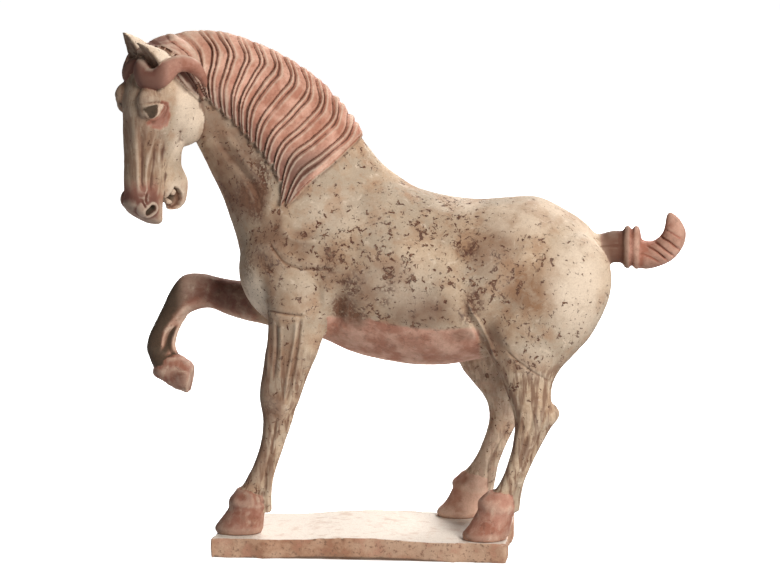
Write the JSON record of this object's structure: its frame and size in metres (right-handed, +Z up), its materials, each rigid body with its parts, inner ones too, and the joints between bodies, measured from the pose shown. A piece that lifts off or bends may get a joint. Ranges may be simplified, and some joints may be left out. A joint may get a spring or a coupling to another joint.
{
  "type": "tang pottery horse",
  "caption": "Standing pottery horse with one foreleg raised, head turned aside, carved mane and tied tail, on a thin pottery plate.",
  "frame": {"origin": "middle of the plate's length on its flat underside, under the horse's middle plane", "axes": "+Z up, +X from the head to the tail, +Y to the horse's right side, which is the far side in the picture"},
  "size_m": [0.5233, 0.1511, 0.482],
  "materials": {
    "slipped_pottery": "matt cream slip over earthenware, flaked and stained, pink on mane, tail and hooves",
    "plate_pottery": "matt earthenware with traces of pale slip"
  },
  "bodies": {
    "root": {"horse": "slipped_pottery", "plate": "plate_pottery"}
  },
  "joints": []
}
